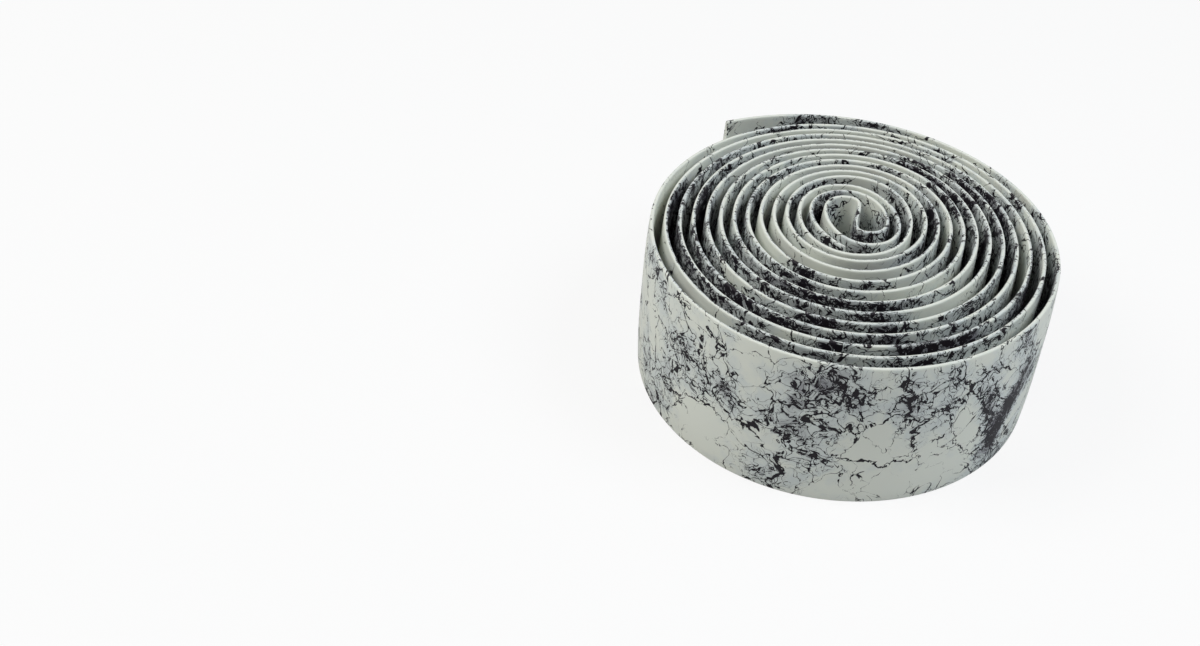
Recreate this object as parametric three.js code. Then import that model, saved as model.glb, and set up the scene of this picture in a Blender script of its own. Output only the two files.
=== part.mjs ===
// A roll of handlebar tape that stands on its edge: one strip, doubled back on itself in the middle
// like an S and then wound outwards. Millimetres, +Z up, origin at the middle of the footprint.
// The front is -Y, and seen from above the tape runs outwards counter-clockwise.

import * as THREE from 'three';

// The strip in section: full thickness in the middle, tapered towards both edges
const tapeWidth = 30;
const tapeThickness = 1.5;
const edgeThickness = 0.9;
const edgeTaper = 4;

// Air between the turns: the roll has slackened towards the front, so they lie closest at the back
const meanAir = 0.93;
const backAir = 0.36;
const pitch = tapeThickness + meanAir;
const slackPerTurn = meanAir - backAir;
const slackHeading = THREE.MathUtils.degToRad(-100);

// The free outer end stands off from the roll
const tailTurns = 0.28;
const tailLift = 3.4;

// The outer winding begins at the back of the roll, outside the inner strands
const windingTurns = 11.09;
const windingRadius = 5.14 * pitch;
const windingCentre = inPitches(0.32, 1.96);

// Each turn is a long oval that rounds out as the roll grows, its long axis turned to the right
const innerOval = 0.07;
const outerOval = 0.03;
const ovalLean = THREE.MathUtils.degToRad(-16);

// Middle line of the inner strands: where each one turns at the back or at the front
const innerEnd = inPitches(-0.72, -2.5);
const innerEndHeading = inPitches(-3.25, 2.8);
const returnBack = inPitches(0.25, 5.23);
const hookFront = inPitches(1.3, -0.3);
const foldBack = inPitches(0, 4.42);
const firstFront = inPitches(1, -1.9);
const secondBack = inPitches(0, 6.08);
const secondFront = inPitches(0.1, -3.36);

// How far each strand reaches to the side between those places, and the sweep of the S
const returnLeft = -2.88 * pitch;
const hookRight = 2.83 * pitch;
const foldLeft = -1.74 * pitch;
const firstRight = 3.69 * pitch;
const secondLeft = -3.82 * pitch;
const secondRight = 4.71 * pitch;
const webSweep = 2.5 * pitch;

const up = new THREE.Vector3(0, 0, 1);
const slackDirection = new THREE.Vector3(Math.cos(slackHeading), Math.sin(slackHeading), 0);

function inPitches(x, y) {
  return new THREE.Vector3(x * pitch, y * pitch, 0);
}

function level(reach) {
  return new THREE.Vector3(reach, 0, 0);
}

// Half a turn between two places where the tape runs level, with its side at a given distance.
// A cubic's middle lies three quarters of the way out to its two handles.
function halfTurn(from, to, side) {
  const reach = (side - (from.x + to.x) / 2) / 0.75;
  return new THREE.CubicBezierCurve3(
    from,
    from.clone().add(level(reach)),
    to.clone().add(level(reach)),
    to,
  );
}

// The stretch across the middle leaves one strand and joins the other in an S
function web(from, to, sweep) {
  return new THREE.CubicBezierCurve3(
    from,
    from.clone().add(level(-sweep)),
    to.clone().add(level(sweep)),
    to,
  );
}

// The stretch from the cut end to the back, which the first full turn has wrapped
function innerTail(end, heading, to, side) {
  const reach = 2 * (side - (end.x + to.x) / 2) / 0.75 - heading.x;
  return new THREE.CubicBezierCurve3(
    end,
    end.clone().add(heading),
    to.clone().add(level(reach)),
    to,
  );
}

// The outer winding: an oval spiral whose centre drifts to the front turn by turn. Its steps
// shorten where the radius is small, so that every facet strays from the curve by the same amount.
class Winding extends THREE.Curve {
  radiusAt(t) {
    const last = windingRadius + pitch * windingTurns;
    return (windingRadius ** 1.5 * (1 - t) + last ** 1.5 * t) ** (2 / 3);
  }

  getPoint(t) {
    const radius = this.radiusAt(t);
    const turn = (radius - windingRadius) / pitch;
    const tail = Math.max(0, 1 - (windingTurns - turn) / tailTurns);
    const reach = radius + tailLift * tail ** 2;
    const oval = THREE.MathUtils.lerp(innerOval, outerOval, turn / windingTurns);
    const angle = Math.PI / 2 + turn * 2 * Math.PI - ovalLean;
    return new THREE.Vector3(
      reach * (1 - oval) * Math.cos(angle),
      reach * (1 + oval) * Math.sin(angle),
      0,
    )
      .applyAxisAngle(up, ovalLean)
      .add(windingCentre)
      .addScaledVector(slackDirection, slackPerTurn * turn);
  }
}

// Several curves end to end, each with its own number of steps
class Route extends THREE.Curve {
  constructor(stretches) {
    super();
    this.stretches = stretches;
    this.steps = stretches.reduce((sum, stretch) => sum + stretch.steps, 0);
  }

  getPoint(t) {
    let step = t * this.steps;
    let index = 0;
    while (index < this.stretches.length - 1 && step > this.stretches[index].steps) {
      step -= this.stretches[index].steps;
      index += 1;
    }
    const { curve, steps } = this.stretches[index];
    return curve.getPoint(Math.min(step / steps, 1));
  }

  getUtoTmapping(u) {
    return u;
  }
}

function tapeRoute() {
  const winding = new Winding();
  const windingStart = winding.getPoint(0);
  return new Route([
    { curve: innerTail(innerEnd, innerEndHeading, returnBack, returnLeft), steps: 13 },
    { curve: halfTurn(returnBack, hookFront, hookRight), steps: 15 },
    { curve: web(hookFront, foldBack, webSweep), steps: 16 },
    { curve: halfTurn(foldBack, firstFront, foldLeft), steps: 15 },
    { curve: halfTurn(firstFront, secondBack, firstRight), steps: 16 },
    { curve: halfTurn(secondBack, secondFront, secondLeft), steps: 16 },
    { curve: halfTurn(secondFront, windingStart, secondRight), steps: 17 },
    { curve: winding, steps: 430 },
  ]);
}

// Section of the strip: height runs against x here, thickness along y
function tapeSection() {
  const half = tapeThickness / 2;
  const halfEdge = edgeThickness / 2;
  const side = [
    [0, halfEdge],
    [edgeTaper, half],
    [tapeWidth - edgeTaper, half],
    [tapeWidth, halfEdge],
  ];
  const outline = side.map(([z, y]) => new THREE.Vector2(-z, y));
  const opposite = side.reverse().map(([z, y]) => new THREE.Vector2(-z, -y));
  return new THREE.Shape([...outline, ...opposite]);
}

function handlebarTape() {
  const route = tapeRoute();
  const geometry = new THREE.ExtrudeGeometry(tapeSection(), {
    steps: route.steps,
    extrudePath: route,
    bevelEnabled: false,
  });
  const material = new THREE.MeshStandardMaterial({ color: '#d5d7d0', roughness: 0.55, metalness: 0 });
  const tape = new THREE.Mesh(geometry, material);
  tape.name = 'handlebar_tape';
  geometry.computeBoundingBox();
  const middle = geometry.boundingBox.getCenter(new THREE.Vector3());
  tape.position.set(-middle.x, -middle.y, 0);
  return tape;
}

const roll = new THREE.Group();
roll.add(handlebarTape());

export default roll;
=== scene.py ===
"""A loose roll of marbled handlebar tape standing on its edge, as it looks in a product photograph.

The tape is one strip of foam. Its middle line is worked out here in millimetres from the same sizes
as the solid model, and the strip's rounded section is carried along it. The marbling is laid out on
the unrolled strip, so that every turn carries its own stretch of it.
"""

import math

import bpy
import numpy as np
from mathutils import Matrix, Vector


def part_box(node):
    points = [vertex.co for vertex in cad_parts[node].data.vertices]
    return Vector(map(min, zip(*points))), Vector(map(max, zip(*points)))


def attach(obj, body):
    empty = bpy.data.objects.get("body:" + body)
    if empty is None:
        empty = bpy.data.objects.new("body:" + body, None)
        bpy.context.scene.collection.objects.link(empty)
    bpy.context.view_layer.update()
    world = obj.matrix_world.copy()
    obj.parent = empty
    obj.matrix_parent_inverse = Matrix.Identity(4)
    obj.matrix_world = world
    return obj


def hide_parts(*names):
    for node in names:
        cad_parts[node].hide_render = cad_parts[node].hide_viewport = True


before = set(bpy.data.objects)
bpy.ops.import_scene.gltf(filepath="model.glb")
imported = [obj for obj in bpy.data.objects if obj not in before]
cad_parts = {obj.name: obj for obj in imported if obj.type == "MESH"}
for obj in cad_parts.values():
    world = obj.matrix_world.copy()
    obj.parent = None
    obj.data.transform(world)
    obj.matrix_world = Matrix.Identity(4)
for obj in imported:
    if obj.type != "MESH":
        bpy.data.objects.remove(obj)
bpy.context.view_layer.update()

MM = 0.001

# The photograph: 1200 by 646 pixels, seen through a lens with no shift
PHOTO_WIDTH_PX = 1200
FOCAL_LENGTH_PX = 1522
SENSOR_WIDTH_MM = 36
CAMERA_ELEVATION = math.radians(37.94)
CAMERA_ROLL = math.radians(4.11)
CAMERA_DISTANCE_MM = 300.6
AIM_MM = (-44.99, 4.84, 0.0)
NEAREST_SEEN_MM = 10

# The strip in section, in mm. A row of points close to each edge keeps the rim's shading crisp.
TAPE_WIDTH = 30.0
TAPE_THICKNESS = 1.5
EDGE_THICKNESS = 0.7
CORNER_RADIUS = 0.25
GUARD_ROW = 0.4
SHARPEST_SMOOTH_EDGE = math.radians(60)

# Air between the turns, and how the roll has slackened towards the front
MEAN_AIR = 0.93
BACK_AIR = 0.36
PITCH = TAPE_THICKNESS + MEAN_AIR
SLACK_PER_TURN = MEAN_AIR - BACK_AIR
SLACK_HEADING = math.radians(-100)

# The free outer end stands off from the roll
TAIL_TURNS = 0.28
TAIL_LIFT = 3.4

# The outer winding
WINDING_TURNS = 11.09
WINDING_RADIUS = 5.14 * PITCH
WINDING_CENTRE = np.array([0.32, 1.96]) * PITCH
INNER_OVAL = 0.07
OUTER_OVAL = 0.03
OVAL_LEAN = math.radians(-16)

# The strands in the middle: where each one turns at the back or at the front
INNER_END = np.array([-0.72, -2.5]) * PITCH
INNER_END_HEADING = np.array([-3.25, 2.8]) * PITCH
RETURN_BACK = np.array([0.25, 5.23]) * PITCH
HOOK_FRONT = np.array([1.3, -0.3]) * PITCH
FOLD_BACK = np.array([0.0, 4.42]) * PITCH
FIRST_FRONT = np.array([1.0, -1.9]) * PITCH
SECOND_BACK = np.array([0.0, 6.08]) * PITCH
SECOND_FRONT = np.array([0.1, -3.36]) * PITCH

# How far each strand reaches to the side between those places, and the sweep of the S
RETURN_LEFT = -2.88 * PITCH
HOOK_RIGHT = 2.83 * PITCH
FOLD_LEFT = -1.74 * PITCH
FIRST_RIGHT = 3.69 * PITCH
SECOND_LEFT = -3.82 * PITCH
SECOND_RIGHT = 4.71 * PITCH
WEB_SWEEP = 2.5 * PITCH

# A cubic's middle lies this share of the way out to its two handles
HANDLE_SHARE = 0.75

# How finely the strip is drawn
STATIONS = 2480
SIDE_POINTS = 12
CORNER_POINTS = 3
LINE_POINTS = 400
WINDING_POINTS = 24000

# Swirls in the mix: how wide each is and how far it pushes the pigment, in mm. The slow ones draw the
# big veins out, and the curls crinkle every line.
SLOW_SWIRLS = ((14, 9), (5, 4))
CURLS = ((3.2, 4.6), (1.3, 1.9), (0.5, 0.4))

# Clouds of pigment: how wide they are in mm, and how far they swing the pigment
CLOUD_SPAN = 9
CLOUD_SWING = 3.6

# Nets of dark veins: the width of their cells and half the width of the fullest vein in mm, and the
# pigment at which they begin and at which they are full
LONG_VEINS = ((8.0, 0.28, -1.0, 0.5),)
LACE = ((4.2, 0.17, -0.4, 0.8), (2.4, 0.16, -0.05, 0.9), (1.3, 0.15, 0.35, 1.4), (1.0, 0.5, 1.0, 2.2))

# A vein's edge fades over the blur. Where a noise is low the vein breaks, down to the share that is
# left, and it is whole again at the noise's upper level. The crinkle pushes bold veins off their
# course. The blur, the spans and the push are in mm.
VEIN_BLUR = 0.06
BREAK_SPAN = 1.6
BREAK_FROM, BREAK_TO = 0.32, 0.54
LEFT_AT_A_BREAK = 0.25
CRINKLE_SPAN = 2.2
CRINKLE_PUSH = 4.4

# Smears of thinned pigment between the veins: how wide they are in mm, how much of the pigment
# counts, and where the cool veil and then the grey murk begin and are full
SMEAR_SPAN = 3
SMEAR_FROM_PIGMENT = 0.5
VEIL_FROM, VEIL_TO = 0.3, 0.9
MURK_FROM, MURK_TO = 0.8, 1.5
FULLEST_MURK = 0.9

# The foam's pores show through its skin as a faint grain: their width and depth in mm. Real ones are
# finer, and these are as coarse as they need to be to show.
PORE_SPAN = 0.4
PORE_DEPTH = 0.02

# How much dark pigment there is before anything is placed, the most that an inner turn gathers, and
# what the rims lack, with how far from the edge that is felt, in mm
WALL_PIGMENT = 0.24
INNER_PIGMENT = 0.55
MOST_INNER_PIGMENT = 1.3
RIM_PIGMENT = -0.45
RIM_FADE = 0.35

# Pools of pigment, or of bare foam, on the outer wall: place along the tape, which is in mm from its
# free end and so below nought, height, half length and half height in mm, lean in degrees, weight
OUTER_WALL = (
    (-185, 11, 7, 3.5, 15, 0.5),
    (-187, 5, 4, 3, -20, 0.35),
    (-176, 20, 6, 5, 30, 0.45),
    (-190, 27, 6, 3, 0, 0.25),
    (-181, 27, 3, 3, 0, 0.25),
    (-166, 17, 3, 6, 10, 0.4),
    (-154, 24, 6, 5, 0, 0.35),
    (-154, 15, 7, 6, -30, 0.45),
    (-149, 8, 6, 4, -40, 0.45),
    (-159, 3, 6, 3, -20, 0.9),
    (-146, 20, 3, 8, -10, 0.3),
    (-136, 15, 3, 5, 0, 0.25),
    (-138, 25, 5, 3, -50, 0.35),
    (-129, 19, 2.5, 9, 15, 0.25),
    (-119, 15, 11, 2.0, -62, 0.8),
    (-113.2, 13, 3.2, 5, -35, 2.2),
    (-116, 8.5, 3, 4.5, -35, 1.0),
    (-108, 21, 3, 3, 0, 0.7),
    (-105, 14, 2.5, 3, 0, 0.7),
    (-117, 6, 6, 3, -60, 0.5),
    (-113, 28, 2.5, 2.5, 0, 0.9),
    (-85, 3, 6, 3, 0, 0.4),
    (-172, 5, 9, 5, 0, -1.3),
    (-165, 26, 4, 4.5, 0, -1.2),
    (-142, 14, 7, 4, 10, -1.1),
    (-124.5, 16, 8, 2.5, -80, -1.3),
    (-137, 4, 13, 4, 0, -1.2),
    (-100, 8, 7, 7, 0, -0.8),
    (-192, 18, 8, 5, 0, -0.5),
    (-103, 24, 8, 4, 0, -0.3),
)

# Bold veins on the outer wall: a course of places along the tape and heights, and half the vein's
# width, all in mm. The rising ones climb all the way, and the level ones run all the way along.
RISING_VEINS = (
    (((-110, 0), (-115, 6), (-118.5, 11), (-121, 18), (-125, 23), (-131, 30)), 0.4),
    (((-106, 1), (-112, 7), (-115.5, 12), (-118, 19), (-121, 24), (-127, 30)), 0.25),
    (((-117, 2), (-122, 7), (-125, 10), (-127.5, 14), (-129, 20), (-129, 28)), 0.2),
    (((-130.5, 19), (-133, 22), (-136.5, 24), (-138, 27), (-139.5, 30)), 0.3),
    (((-181.5, 0), (-180.5, 4), (-178.5, 8), (-176.5, 12)), 0.25),
    (((-176, 17), (-173, 20), (-171, 24), (-170, 29)), 0.25),
)
LEVEL_VEINS = (
    (((-152, 11.5), (-147, 10.3), (-143, 10), (-139, 9.2), (-135, 9.5), (-132.5, 11.5)), 0.3),
    (((-192, 13), (-187, 11.5), (-183, 9.5), (-178, 9), (-175, 11.5), (-170, 12.5), (-164, 9)), 0.22),
    (((-139, 13), (-138, 16), (-136, 19), (-134, 19.5), (-133, 17)), 0.22),
)

# The mesh carries the bold veins three to a vector
VEIN_GROUPS = (len(RISING_VEINS) + len(LEVEL_VEINS)) // 3

# Sectors of the roll whose turns are darker or barer: the turns' face, bearing and half width in
# degrees, first and last turn counted from the outside, weight. The barer sectors on the inner faces
# at the back, out to the free end, are partly bare foam and partly painted light: they lighten the
# faces that light from behind falls on. The steepness says how sharply a sector begins and ends, per
# turn.
SECTORS = (
    ("outer", -124, 14, 3.2, 4.1, 1.2),
    ("outer", -101, 9, 6.2, 7.1, 1.2),
    ("outer", -93, 8, 3.2, 4.1, 1.4),
    ("outer", -99, 8, 2.2, 3.1, 1.1),
    ("outer", -67, 18, 2.1, 3.0, 1.2),
    ("outer", -122, 10, 7.3, 9.2, 1.0),
    ("outer", -50, 9, 1.1, 2.0, 1.0),
    ("outer", -95, 42, 2.2, 7.2, 0.55),
    ("outer", -60, 16, 5.0, 5.9, -1.8),
    # partly bare foam, partly painted light: lightens the inner faces at the back for the light that
    # reaches them from behind
    ("inner", 90, 42, 0.6, 12.0, -0.6),
    ("outer", -90, 200, 8.2, 13.0, -0.25),
    ("outer", -75, 30, 11.1, 12.1, -1.2),
    ("outer", -140, 30, 0.9, 2.3, -1.2),
    ("outer", -165, 22, 2.4, 6.5, 0.9),
    ("inner", 25, 22, 3.0, 6.5, 1.6),
    # partly bare foam, partly painted light: lightens the free end's inner face for the light that shines
    # through it from behind
    ("inner", 118, 14, -0.5, 0.7, -1.8),
    ("inner", 165, 30, 2.0, 6.0, 0.6),
    ("outer", 170, 40, 7.0, 11.0, -0.8),
)
SECTOR_STEEPNESS = 12

# Stretches of the doubled strands in the core: face, first and last mm from the inner end, weight. The
# steepness is per mm.
CORE = (
    ("outer", 11, 24, 1.0),
    ("outer", 25, 46, 0.3),
    ("inner", 35, 50, 0.8),
    ("inner", 55, 82, -1.2),
)
CORE_STEEPNESS = 1

# Slow swings between darker and barer stretches along the inner turns: length in mm, weight. They
# run ahead on the inner face, by an angle in radians, so that the two faces differ.
SWINGS = ((83, 0.5), (137, 0.4), (31, 0.3))
INNER_FACE_AHEAD = 2.0

# The studio: the room's own light, how much of pure white the camera sees on the paper, and the
# paper's reach in metres. Each soft box has its place and side in metres and its power in watts.
ROOM_LIGHT = 0.2
PAPER_WHITE = 0.86
PAPER_REACH = 2.0
SOFT_BOXES = (
    ("overhead", (0.0, -0.06, 0.3), 0.2, 0.1, "#ffffff"),
    ("left", (-0.49, -0.06, 0.55), 0.35, 2.8, "#fffefa"),
    ("right", (0.44, -0.08, 0.59), 0.35, 2.7, "#eff7ff"),
)

# A colour mix takes its factor and its two colours at these sockets, and gives its colour at the last
MIX_FACTOR, MIX_FIRST, MIX_SECOND, MIXED = 0, 6, 7, 2


def linear(colour):
    """The linear RGBA of an sRGB hex colour such as '#c8ccc4'."""
    parts = [int(colour[i:i + 2], 16) / 255 for i in (1, 3, 5)]
    return [p / 12.92 if p <= 0.04045 else ((p + 0.055) / 1.055) ** 2.4 for p in parts] + [1.0]


def bend(start, start_handle, end_handle, end):
    """A cubic: the four points weighed by (1-t)^3, 3(1-t)^2 t, 3(1-t) t^2 and t^3."""
    t = np.linspace(0, 1, LINE_POINTS)[:, None]
    return (
        (1 - t) ** 3 * start
        + 3 * (1 - t) ** 2 * t * start_handle
        + 3 * (1 - t) * t ** 2 * end_handle
        + t ** 3 * end
    )


def level(reach):
    """A step to the right by the reach, and none to the back."""
    return np.array([reach, 0.0])


def half_turn(start, end, side):
    """Half a turn between two places where the strip runs level. The handles reach as far as the
    side's distance from the middle of the chord, over the share of the way that a cubic goes."""
    reach = level((side - (start[0] + end[0]) / 2) / HANDLE_SHARE)
    return bend(start, start + reach, end + reach, end)


def web(start, end, sweep):
    """The S across the middle: the handles sweep equally far to the left and to the right."""
    return bend(start, start - level(sweep), end + level(sweep), end)


def inner_tail(end, heading, to, side):
    """From the cut inner end to the back: the last handle takes what the first leaves of the reach."""
    reach = 2 * (side - (end[0] + to[0]) / 2) / HANDLE_SHARE - heading[0]
    return bend(end, end + heading, to + level(reach), to)


def winding():
    """An oval spiral. With n turns wound, the radius is the first radius plus n pitches, stretched by
    1-o across and 1+o along the oval's long axis, and the centre has drifted by n times the slack. In
    the last part of a turn the free end lifts off by the square of the share that is left."""
    turn = np.linspace(0, WINDING_TURNS, WINDING_POINTS)
    tail = np.maximum(0, 1 - (WINDING_TURNS - turn) / TAIL_TURNS)
    reach = WINDING_RADIUS + PITCH * turn + TAIL_LIFT * tail ** 2
    oval = INNER_OVAL + (OUTER_OVAL - INNER_OVAL) * turn / WINDING_TURNS
    angle = math.pi / 2 + turn * 2 * math.pi - OVAL_LEAN
    across = reach * (1 - oval) * np.cos(angle)
    along = reach * (1 + oval) * np.sin(angle)
    drift = SLACK_PER_TURN * turn
    x = across * math.cos(OVAL_LEAN) - along * math.sin(OVAL_LEAN) + drift * math.cos(SLACK_HEADING)
    y = across * math.sin(OVAL_LEAN) + along * math.cos(OVAL_LEAN) + drift * math.sin(SLACK_HEADING)
    return np.column_stack([x, y]) + WINDING_CENTRE


def tape_line():
    """The strip's middle line as evenly spaced stations, with the length of tape before each one."""
    outer = winding()
    stretches = [
        inner_tail(INNER_END, INNER_END_HEADING, RETURN_BACK, RETURN_LEFT),
        half_turn(RETURN_BACK, HOOK_FRONT, HOOK_RIGHT),
        web(HOOK_FRONT, FOLD_BACK, WEB_SWEEP),
        half_turn(FOLD_BACK, FIRST_FRONT, FOLD_LEFT),
        half_turn(FIRST_FRONT, SECOND_BACK, FIRST_RIGHT),
        half_turn(SECOND_BACK, SECOND_FRONT, SECOND_LEFT),
        half_turn(SECOND_FRONT, outer[0], SECOND_RIGHT),
    ]
    line = np.concatenate([stretch[:-1] for stretch in stretches] + [outer])
    run = np.concatenate([[0], np.cumsum(np.hypot(*np.diff(line, axis=0).T))])
    length = np.linspace(0, run[-1], STATIONS)
    return np.column_stack([np.interp(length, run, line[:, 0]), np.interp(length, run, line[:, 1])]), length


def tape_section():
    """The section as a ring: height above the middle, and distance to either side. Down each side the
    half thickness is half the edge plus the crown times 1 minus the cube of height over half width.
    Each corner is a quarter of a circle."""
    top = TAPE_WIDTH / 2 - CORNER_RADIUS
    rows = np.linspace(-top, top, SIDE_POINTS)
    rows = np.sort(np.append(rows, [GUARD_ROW - top, top - GUARD_ROW]))
    crown = (TAPE_THICKNESS - EDGE_THICKNESS) / 2 * (1 - np.abs(rows / top) ** 3)
    bulge = EDGE_THICKNESS / 2 + crown
    corner = np.linspace(0, math.pi / 2, CORNER_POINTS + 1)[1:]
    over = top + CORNER_RADIUS * np.sin(corner)
    inward = EDGE_THICKNESS / 2 - CORNER_RADIUS * (1 - np.cos(corner))
    height = np.concatenate([rows, over, over[::-1], rows[::-1], -over, -over[::-1]])
    side = np.concatenate([bulge, inward, -inward[::-1], -bulge[::-1], -inward, inward[::-1]])
    return height, side


def put_in_scene(name, points, faces):
    """A new object with its mesh, at the origin, unturned and unscaled."""
    mesh = bpy.data.meshes.new(name)
    mesh.from_pydata(points, [], faces)
    piece = bpy.data.objects.new(name, mesh)
    bpy.context.scene.collection.objects.link(piece)
    return piece


def tube_faces(around):
    """Faces between one ring of points and the next, seen from outside, and a flat one at each end."""
    here = np.arange(around)
    after = (here + 1) % around
    row = (np.arange(STATIONS - 1) * around)[:, None]
    faces = np.stack([row + here, row + here + around, row + after + around, row + after], axis=-1)
    faces = faces.reshape(-1, 4)[:, ::-1].tolist()
    last = (STATIONS - 1) * around
    faces.append(here.tolist())
    faces.append((last + here[::-1]).tolist())
    return faces


def tape_skin(length, height, side):
    """Where each point lies on the unrolled strip's skin, in mm. Length along the strip is the first
    coordinate. The way round the section is bent into a circle of the same girth, so that a pattern
    runs over both rims without a seam: radius times cosine and sine of the share of the girth."""
    girth = np.concatenate([[0], np.cumsum(np.hypot(np.diff(height), np.diff(side)))])
    full_girth = girth[-1] + math.hypot(height[0] - height[-1], side[0] - side[-1])
    angle = girth / full_girth * 2 * math.pi
    radius = full_girth / (2 * math.pi)
    skin = np.empty((len(length), len(height), 3))
    skin[:, :, 0] = length[:, None]
    skin[:, :, 1] = radius * np.cos(angle)
    skin[:, :, 2] = radius * np.sin(angle)
    return skin


def gathered(pools, right, up):
    """The sum of soft oval pools: each one's weight times exp of minus its squared oval distance."""
    total = 0.0
    for place, height, half_length, half_height, lean, weight in pools:
        along = right - place
        above = up - height
        lean = math.radians(lean)
        x = (along * math.cos(lean) + above * math.sin(lean)) / half_length
        y = (above * math.cos(lean) - along * math.sin(lean)) / half_height
        total = total + weight * np.exp(-(x * x + y * y))
    return total


def between(value, first, last, steepness):
    """One between first and last and nought beyond them. Each end is a smooth step: a half plus half
    the hyperbolic tangent of half the distance from it times the steepness."""
    begun = 0.5 + 0.5 * np.tanh((value - first) * steepness / 2)
    going_on = 0.5 + 0.5 * np.tanh((last - value) * steepness / 2)
    return begun * going_on


def pigment_and_painted_light(length, rise, side, plan):
    """How much dark pigment lies at each point of the skin, around nought, and which points are on
    the outer wall. The wall has its own pools. The inner turns have slow waves along each face, and
    sectors and stretches; two barer sectors at the back are partly painted light, which lightens the
    faces that light from behind falls on. A sector falls off as exp of minus the square of its bearing
    over its half width. The rims are barer than the faces, by exp of minus the square of the distance."""
    to_end = (length - length[-1])[:, None]
    faces = {"outer": (side < 0)[None, :], "inner": (side >= 0)[None, :]}
    middle = plan.mean(1)
    around = np.arctan2(middle[:, 1], middle[:, 0])
    swept = np.unwrap(around)
    turns_in = (swept[-1] - swept)[:, None] / (2 * math.pi)
    wall = faces["outer"] & (turns_in < 1)
    inner = np.full(rise.shape, INNER_PIGMENT)
    ahead = np.where(faces["outer"], 0.0, INNER_FACE_AHEAD)
    for span, weight in SWINGS:
        inner += weight * np.sin(to_end / span * 2 * math.pi + ahead)
    bearing = np.degrees(around)[:, None]
    # Some sectors here lighten the back's inner faces and the free end as painted light
    for face, middle_bearing, half_sector, first, last, weight in SECTORS:
        apart = (bearing - middle_bearing + 180) % 360 - 180
        sector = np.exp(-(apart / half_sector) ** 2) * between(turns_in, first, last, SECTOR_STEEPNESS)
        inner += faces[face] * sector * weight
    for face, first, last, weight in CORE:
        stretch = between(length[:, None], first, last, CORE_STEEPNESS)
        inner += faces[face] * stretch * weight
    inner = np.minimum(inner, MOST_INNER_PIGMENT)
    ink_and_painted_light = np.where(wall, WALL_PIGMENT + gathered(OUTER_WALL, to_end, rise), inner)
    to_rim = np.minimum(rise, TAPE_WIDTH - rise)
    return ink_and_painted_light + RIM_PIGMENT * np.exp(-(to_rim / RIM_FADE) ** 2), wall


def bold_vein(course, half_width, ahead, across):
    """How far every point lies off a vein's course, which is the distance across it over the root of
    1 plus the slope squared, and half the vein's width there, which swells from nought at its ends as
    the root of a sine. The course gives places across at places ahead."""
    along, aside = course
    here = np.interp(ahead, along, aside)
    slope = (np.interp(ahead + 1, along, aside) - np.interp(ahead - 1, along, aside)) / 2
    share = np.clip((ahead - along[0]) / (along[-1] - along[0]), 0, 1)
    offset = (across - here) / np.sqrt(1 + slope ** 2)
    return offset, half_width * np.sqrt(np.sin(math.pi * share))


def bold_veins(to_end, rise, wall):
    """Each bold vein's offsets and half widths, with no width off the outer wall. A rising vein's
    place depends on the height, and a level vein's height on the place."""
    veins = [bold_vein(np.array(course).T[::-1], half_width, rise, to_end)
             for course, half_width in RISING_VEINS]
    veins += [bold_vein(np.array(course).T, half_width, to_end, rise)
              for course, half_width in LEVEL_VEINS]
    return [offset for offset, _ in veins], [breadth * wall for _, breadth in veins]


def marbled_tape_piece():
    """The strip: its section set square to the middle line at every station, and both ends cut off.
    Its mesh carries what the marbling needs: place on the skin, pigment with some painted light at
    the back, and bold veins."""
    line, length = tape_line()
    height, side = tape_section()
    heading = np.gradient(line, axis=0)
    heading /= np.hypot(*heading.T)[:, None]
    left = np.column_stack([-heading[:, 1], heading[:, 0]])
    plan = line[:, None, :] + left[:, None, :] * side[None, :, None]
    low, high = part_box("handlebar_tape")
    plan -= (plan.min((0, 1)) + plan.max((0, 1))) / 2
    plan += np.array([low.x + high.x, low.y + high.y]) / 2 / MM
    rise = np.broadcast_to(height + TAPE_WIDTH / 2, plan.shape[:2])
    points = np.dstack([plan, rise]).reshape(-1, 3) * MM

    piece = put_in_scene("marbled_tape", points, tube_faces(len(height)))
    layers = piece.data.attributes
    skin = tape_skin(length, height, side)
    layers.new("skin", "FLOAT_VECTOR", "POINT").data.foreach_set("vector", skin.ravel())
    ink_and_painted_light, wall = pigment_and_painted_light(length, rise, side, plan)
    layers.new("ink_and_painted_light", "FLOAT", "POINT").data.foreach_set("value", np.ravel(ink_and_painted_light))
    offsets, breadths = bold_veins(length[:, None] - length[-1], rise, wall)
    for group in range(VEIN_GROUPS):
        three = slice(3 * group, 3 * group + 3)
        for name, veins in (("offset", offsets), ("breadth", breadths)):
            values = np.stack(veins[three], axis=-1)
            layer = layers.new(f"vein_{name}_{group}", "FLOAT_VECTOR", "POINT")
            layer.data.foreach_set("vector", values.ravel())
    piece.data.shade_smooth()
    piece.data.set_sharp_from_angle(angle=SHARPEST_SMOOTH_EDGE)
    return piece


def add_node(tree, kind, inputs=(), output=0, **settings):
    """Adds a node. Inputs come by name or in order, each a value or another node's output."""
    node = tree.nodes.new(kind)
    for name, value in settings.items():
        setattr(node, name, value)
    for socket, value in inputs.items() if isinstance(inputs, dict) else enumerate(inputs):
        if isinstance(value, bpy.types.NodeSocket):
            tree.links.new(value, node.inputs[socket])
        else:
            node.inputs[socket].default_value = value
    return node.outputs[output] if len(node.outputs) else None


def swirled(tree, place, swirls):
    """Each swirl adds to the place a noise colour less a half, times how far the swirl pushes."""
    for span, push in swirls:
        swirl = add_node(tree, "ShaderNodeTexNoise",
                         {"Vector": place, "Scale": 1 / span, "Detail": 1.0}, "Color")
        swirl = add_node(tree, "ShaderNodeVectorMath", [swirl, (0.5, 0.5, 0.5)], operation="SUBTRACT")
        swirl = add_node(tree, "ShaderNodeVectorMath", {0: swirl, "Scale": push}, operation="SCALE")
        place = add_node(tree, "ShaderNodeVectorMath", [place, swirl], operation="ADD")
    return place


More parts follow.
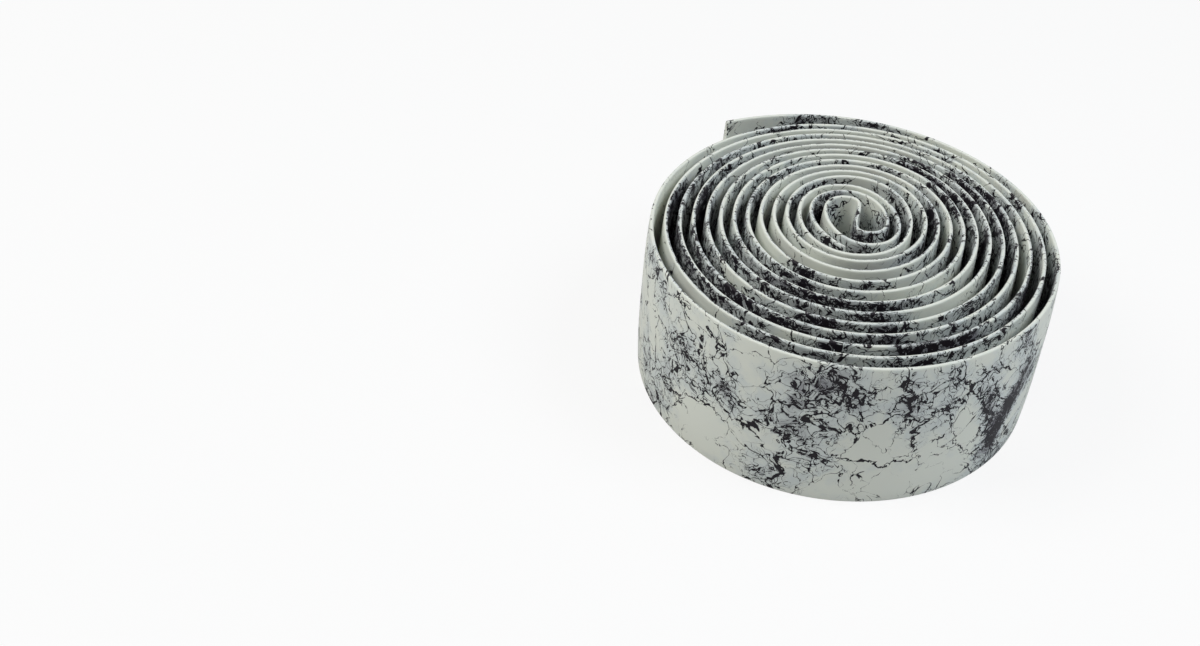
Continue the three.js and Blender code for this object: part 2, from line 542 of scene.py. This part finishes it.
def marbled_eva_foam():
    """EVA foam, moulded from black and cream stock that was folded together, with a smooth closed
    skin. To the eye the skin is satin, with a soft broad gloss and next to no mirror. Light enters the
    cream a little way, so thin rims glow. The black stock lies in it as crinkled veins, and where the
    two have blended there are grey smears. Each vein is dark where its half width is more than the
    distance to its course, and fades over the blur."""
    material = bpy.data.materials.new("marbled_eva_foam")
    material.use_nodes = True
    tree = material.node_tree
    tree.nodes.clear()
    skin = add_node(tree, "ShaderNodeAttribute", output="Vector", attribute_name="skin")
    ink_and_painted_light = add_node(tree, "ShaderNodeAttribute", output="Fac", attribute_name="ink_and_painted_light")
    drawn_out = swirled(tree, skin, SLOW_SWIRLS)
    crinkled = swirled(tree, drawn_out, CURLS)
    curled = swirled(tree, skin, CURLS)

    # The pigment that was placed, partly painted light at the back, and clouds of it on top
    gather = add_node(tree, "ShaderNodeTexNoise",
                      {"Vector": drawn_out, "Scale": 1 / CLOUD_SPAN, "Detail": 3.0})
    gather = add_node(tree, "ShaderNodeMath", [gather, 0.5], operation="SUBTRACT")
    gather = add_node(tree, "ShaderNodeMath", [gather, CLOUD_SWING, ink_and_painted_light], operation="MULTIPLY_ADD")

    # What the breaks leave of a vein
    broken = add_node(tree, "ShaderNodeTexNoise",
                      {"Vector": curled, "Scale": 1 / BREAK_SPAN, "Detail": 2.0})
    broken = add_node(tree, "ShaderNodeMapRange",
                      {"Value": broken, "From Min": BREAK_FROM, "From Max": BREAK_TO,
                       "To Min": LEFT_AT_A_BREAK}, interpolation_type="SMOOTHSTEP")

    # Nets of veins, which run along the edges of their cells
    dark = None
    nets = [(crinkled, *net) for net in LONG_VEINS] + [(curled, *net) for net in LACE]
    for place, cell, half_line, start, full in nets:
        reach = add_node(tree, "ShaderNodeMapRange",
                         {"Value": gather, "From Min": start, "From Max": full, "To Max": half_line})
        reach = add_node(tree, "ShaderNodeMath", [reach, broken], operation="MULTIPLY")
        edge = add_node(tree, "ShaderNodeTexVoronoi", {"Vector": place, "Scale": 1 / cell},
                        feature="DISTANCE_TO_EDGE")
        line = add_node(tree, "ShaderNodeMath", [edge, -cell, reach], operation="MULTIPLY_ADD")
        line = add_node(tree, "ShaderNodeMath", [line, 1 / VEIN_BLUR], operation="MULTIPLY", use_clamp=True)
        dark = line if dark is None else add_node(tree, "ShaderNodeMath", [dark, line], operation="MAXIMUM")

    # The bold veins, three at a time, pushed off their courses by the crinkle
    crinkle = add_node(tree, "ShaderNodeTexNoise",
                       {"Vector": curled, "Scale": 1 / CRINKLE_SPAN, "Detail": 2.0}, "Color")
    crinkle = add_node(tree, "ShaderNodeVectorMath", [crinkle, (0.5, 0.5, 0.5)], operation="SUBTRACT")
    firm = add_node(tree, "ShaderNodeMath", [broken, 0.5, 0.5], operation="MULTIPLY_ADD")
    for group in range(VEIN_GROUPS):
        offset = add_node(tree, "ShaderNodeAttribute", output="Vector",
                          attribute_name=f"vein_offset_{group}")
        breadth = add_node(tree, "ShaderNodeAttribute", output="Vector",
                           attribute_name=f"vein_breadth_{group}")
        offset = add_node(tree, "ShaderNodeVectorMath", [crinkle, (CRINKLE_PUSH,) * 3, offset],
                          operation="MULTIPLY_ADD")
        offset = add_node(tree, "ShaderNodeVectorMath", [offset], operation="ABSOLUTE")
        line = add_node(tree, "ShaderNodeVectorMath", {0: breadth, "Scale": firm}, operation="SCALE")
        line = add_node(tree, "ShaderNodeVectorMath", [line, offset], operation="SUBTRACT")
        line = add_node(tree, "ShaderNodeVectorMath", {0: line, "Scale": 1 / VEIN_BLUR}, operation="SCALE")
        for axis in "XYZ":
            part = add_node(tree, "ShaderNodeSeparateXYZ", [line], axis)
            dark = add_node(tree, "ShaderNodeMath", [dark, part], operation="MAXIMUM", use_clamp=True)

    # Cream foam, a cool veil over it, grey murk over that, and the black veins on top
    smear = add_node(tree, "ShaderNodeTexNoise",
                     {"Vector": curled, "Scale": 1 / SMEAR_SPAN, "Detail": 4.0})
    smear = add_node(tree, "ShaderNodeMath", [gather, SMEAR_FROM_PIGMENT, smear], operation="MULTIPLY_ADD")
    veil = add_node(tree, "ShaderNodeMapRange",
                    {"Value": smear, "From Min": VEIL_FROM, "From Max": VEIL_TO},
                    interpolation_type="SMOOTHSTEP")
    murk = add_node(tree, "ShaderNodeMapRange",
                    {"Value": smear, "From Min": MURK_FROM, "From Max": MURK_TO,
                     "To Max": FULLEST_MURK}, interpolation_type="SMOOTHSTEP")
    colour = linear("#d9dcd3")
    for share, stain in ((veil, "#cad0ce"), (murk, "#6e6c75"), (dark, "#18131a")):
        colour = add_node(tree, "ShaderNodeMix",
                          {MIX_FACTOR: share, MIX_FIRST: colour, MIX_SECOND: linear(stain)}, MIXED,
                          data_type="RGBA")

    # A polymer's index. The skin is a little rough, and its dull sheen is weaker than a glossy one's.
    pores = add_node(tree, "ShaderNodeTexNoise", {"Vector": skin, "Scale": 1 / PORE_SPAN, "Detail": 2.0})
    pores = add_node(tree, "ShaderNodeBump",
                     {"Strength": 0.5, "Distance": PORE_DEPTH * MM, "Height": pores})
    surface = add_node(tree, "ShaderNodeBsdfPrincipled", {
        "Base Color": colour,
        "Roughness": 0.5,
        "IOR": 1.45,
        "Specular IOR Level": 0.2,
        "Normal": pores,
        "Subsurface Weight": 0.3,
        "Subsurface Radius": (1.0, 0.95, 0.9),
        "Subsurface Scale": 1.2 * MM,
    })
    add_node(tree, "ShaderNodeOutputMaterial", {"Surface": surface})
    return material


def paper_floor():
    """A level sheet of matt white paper, which scatters light evenly and has no gloss. The camera sees
    it lifted towards pure white, and the rest of what it sees there is the roll's shadow."""
    reach = PAPER_REACH
    corners = [(-reach, -reach, 0), (reach, -reach, 0), (reach, reach, 0), (-reach, reach, 0)]
    floor = put_in_scene("floor", corners, [(0, 1, 2, 3)])
    material = bpy.data.materials.new("white_paper")
    material.use_nodes = True
    tree = material.node_tree
    tree.nodes.clear()
    seen = add_node(tree, "ShaderNodeLightPath", output="Is Camera Ray")
    matt = add_node(tree, "ShaderNodeBsdfDiffuse", {"Color": linear("#e4e4e4")})
    white = add_node(tree, "ShaderNodeEmission", {"Color": linear("#ffffff"), "Strength": 1.0})
    share = add_node(tree, "ShaderNodeMath", [seen, PAPER_WHITE], operation="MULTIPLY")
    surface = add_node(tree, "ShaderNodeMixShader", [share, matt, white])
    add_node(tree, "ShaderNodeOutputMaterial", {"Surface": surface})
    floor.data.materials.append(material)


def studio_world():
    """A white room that lights the roll softly. The camera, and anything glossy or clear, sees it as
    pure white."""
    world = bpy.data.worlds.new("studio")
    bpy.context.scene.world = world
    world.use_nodes = True
    tree = world.node_tree
    tree.nodes.clear()
    seen = add_node(tree, "ShaderNodeLightPath", output="Is Camera Ray")
    for ray in ("Is Glossy Ray", "Is Transmission Ray"):
        also = add_node(tree, "ShaderNodeLightPath", output=ray)
        seen = add_node(tree, "ShaderNodeMath", [seen, also], operation="MAXIMUM")
    room = add_node(tree, "ShaderNodeBackground", {"Color": linear("#ffffff"), "Strength": ROOM_LIGHT})
    white = add_node(tree, "ShaderNodeBackground", {"Color": linear("#ffffff"), "Strength": 1.0})
    surface = add_node(tree, "ShaderNodeMixShader", [seen, room, white])
    add_node(tree, "ShaderNodeOutputWorld", {"Surface": surface})


def soft_box(name, place, side, power, colour):
    """A square lamp that faces the origin."""
    light = bpy.data.lights.new(name, "AREA")
    light.shape = "SQUARE"
    light.size = side
    light.energy = power
    light.color = linear(colour)[:3]
    lamp = bpy.data.objects.new(name, light)
    bpy.context.scene.collection.objects.link(lamp)
    lamp.location = place
    lamp.rotation_euler = Vector(place).to_track_quat("Z", "Y").to_euler()


def photograph_camera():
    """A pinhole at its distance back along the line of sight, rolled about that line."""
    camera = bpy.data.cameras.new("camera")
    camera.sensor_width = SENSOR_WIDTH_MM
    camera.lens = FOCAL_LENGTH_PX / PHOTO_WIDTH_PX * SENSOR_WIDTH_MM
    camera.clip_start = NEAREST_SEEN_MM * MM
    holder = bpy.data.objects.new("camera", camera)
    bpy.context.scene.collection.objects.link(holder)
    ahead = np.array([0, math.cos(CAMERA_ELEVATION), -math.sin(CAMERA_ELEVATION)])
    right = np.array([1.0, 0, 0])
    up = np.cross(right, ahead)
    turned_right = right * math.cos(CAMERA_ROLL) + up * math.sin(CAMERA_ROLL)
    turned_up = up * math.cos(CAMERA_ROLL) - right * math.sin(CAMERA_ROLL)
    place = (np.array(AIM_MM) - CAMERA_DISTANCE_MM * ahead) * MM
    axes = np.column_stack([turned_right, turned_up, -ahead, place])
    holder.matrix_world = Matrix(axes.tolist() + [[0, 0, 0, 1]])
    bpy.context.scene.camera = holder


photograph_camera()
tape = marbled_tape_piece()
tape.data.materials.append(marbled_eva_foam())
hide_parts("handlebar_tape")
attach(tape, "root")

paper_floor()
studio_world()
for box in SOFT_BOXES:
    soft_box(*box)
bpy.context.scene.view_settings.view_transform = "Standard"
